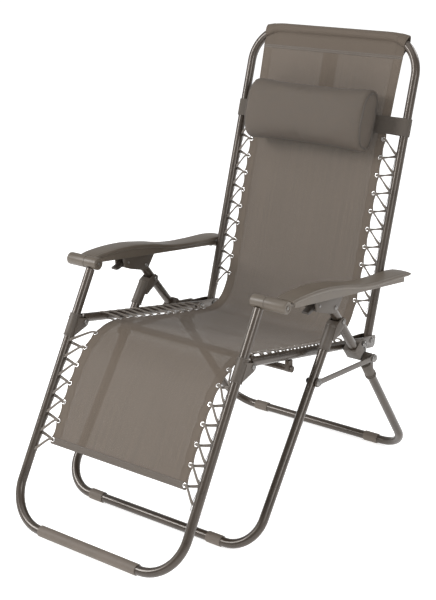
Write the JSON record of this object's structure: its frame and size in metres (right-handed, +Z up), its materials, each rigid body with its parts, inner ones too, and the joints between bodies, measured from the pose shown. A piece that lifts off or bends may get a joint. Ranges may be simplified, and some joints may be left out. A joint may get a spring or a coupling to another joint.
{
  "type": "zero gravity recliner",
  "caption": "Folding tubular-steel lounger whose back, laced fabric sling seat, footrest and armrests recline together, with a sliding head pillow.",
  "frame": {"origin": "on the floor, under the middle of the overall box of the unfolded chair", "axes": "+Z up, -Y towards the footrest end, +Y towards the back, +X towards the sitter's left"},
  "size_m": [0.638, 1.0196, 1.0956],
  "materials": {
    "frame_paint": "satin powder coat, dark taupe brown",
    "frame_plastic": "moulded plastic, fine texture",
    "arm_plastic": "moulded plastic, satin, fine texture",
    "sling_mesh": "woven polyester mesh coated with vinyl",
    "bungee_cord": "braided elastic cord",
    "pillow_cover": "vinyl coated mesh fabric, padded",
    "elastic_strap": "woven elastic band",
    "bolt_steel": "zinc plated"
  },
  "bodies": {
    "leg_base": {"front_leg_tube": "frame_paint", "front_foot_cap_l": "frame_plastic", "front_foot_cap_r": "frame_plastic", "leg_top_sleeve_l": "frame_plastic", "leg_top_sleeve_r": "frame_plastic", "sleeve_rivet_l": "bolt_steel", "sleeve_rivet_r": "bolt_steel", "support_strut_l": "frame_paint", "support_strut_r": "frame_paint", "strut_hub_l": "frame_plastic", "strut_hub_r": "frame_plastic", "brace_link_l": "frame_paint", "brace_link_r": "frame_paint", "brace_bolt_l": "bolt_steel", "brace_bolt_r": "bolt_steel", "hub_bolt_l": "bolt_steel", "hub_bolt_r": "bolt_steel", "rear_pivot_bolt_l": "bolt_steel", "rear_pivot_bolt_r": "bolt_steel"},
    "rear_leg": {"rear_leg_tube": "frame_paint", "rear_foot_cap_l": "frame_plastic", "rear_foot_cap_r": "frame_plastic", "rear_leg_collar_l": "frame_plastic", "rear_leg_collar_r": "frame_plastic"},
    "seat": {"seat_rail_l": "frame_paint", "seat_rail_r": "frame_paint", "hinge_bracket_l": "frame_paint", "hinge_bracket_r": "frame_paint", "back_pivot_bolt_l": "bolt_steel", "back_pivot_bolt_r": "bolt_steel", "seat_cross_brace": "frame_paint", "seat_sling": "sling_mesh", "seat_lace_l": "bungee_cord", "seat_lace_r": "bungee_cord"},
    "back": {"back_tube": "frame_paint", "back_sling": "sling_mesh", "back_lace_l": "bungee_cord", "back_lace_r": "bungee_cord"},
    "footrest": {"footrest_tube": "frame_paint", "footrest_sleeve": "frame_plastic", "leg_sling": "sling_mesh", "knee_bracket_l": "frame_plastic", "knee_bracket_r": "frame_plastic", "knee_bolt_l": "bolt_steel", "knee_bolt_r": "bolt_steel", "leg_lace_l": "bungee_cord", "leg_lace_r": "bungee_cord"},
    "armrests": {"arm_frame_l": "arm_plastic", "arm_frame_r": "arm_plastic", "arm_pad_l": "arm_plastic", "arm_pad_r": "arm_plastic"},
    "lock_brackets": {"lock_bracket_l": "frame_plastic", "lock_bracket_r": "frame_plastic"},
    "lock_lever_left": {"lock_lever_l": "frame_plastic"},
    "lock_lever_right": {"lock_lever_r": "frame_plastic"},
    "pillow": {"head_pillow": "pillow_cover", "pillow_strap_l": "elastic_strap", "pillow_strap_r": "elastic_strap"}
  },
  "joints": [
    {"name": "rear_leg_fold", "type": "hinge", "parent": "leg_base", "child": "rear_leg", "pos_m": [0, 0.225, 0.337], "axis": [-1, 0, 0], "range_deg": [0, 71]},
    {"name": "seat_tilt", "type": "hinge", "parent": "leg_base", "child": "seat", "pos_m": [0, 0.226, 0.3645], "axis": [1, 0, 0], "range_deg": [-8.5, 0]},
    {"name": "back_recline", "type": "hinge", "parent": "seat", "child": "back", "pos_m": [0, 0.283, 0.358], "axis": [1, 0, 0], "range_deg": [-29, 0]},
    {"name": "knee_hinge", "type": "hinge", "parent": "seat", "child": "footrest", "pos_m": [0, -0.229, 0.446], "axis": [1, 0, 0], "range_deg": [-31.2, 0]},
    {"name": "armrest_front_hinge", "type": "hinge", "parent": "footrest", "child": "armrests", "pos_m": [0, -0.185, 0.581], "axis": [1, 0, 0], "range_deg": [0, 31]},
    {"name": "lock_bracket_swivel", "type": "hinge", "parent": "leg_base", "child": "lock_brackets", "pos_m": [0, 0.041, 0.5176], "axis": [1, 0, 0], "range_deg": [-9, 0]},
    {"name": "lock_lever_left_turn", "type": "hinge", "parent": "lock_brackets", "child": "lock_lever_left", "pos_m": [0.285, -0.028, 0.54], "axis": [1, 0, 0], "range_deg": [0, 60]},
    {"name": "lock_lever_right_turn", "type": "hinge", "parent": "lock_brackets", "child": "lock_lever_right", "pos_m": [-0.285, -0.028, 0.54], "axis": [1, 0, 0], "range_deg": [0, 60]},
    {"name": "pillow_slide", "type": "slide", "parent": "back", "child": "pillow", "axis": [0, 0.2821, 0.9594], "range_m": [0, 0.08]}
  ],
  "couplings": [
    {"joint": "seat_tilt", "follows": "back_recline", "ratio": 0.287},
    {"joint": "knee_hinge", "follows": "back_recline", "ratio": 1.068},
    {"joint": "armrest_front_hinge", "follows": "back_recline", "ratio": -1.056},
    {"joint": "lock_bracket_swivel", "follows": "back_recline", "ratio": 0.299}
  ]
}
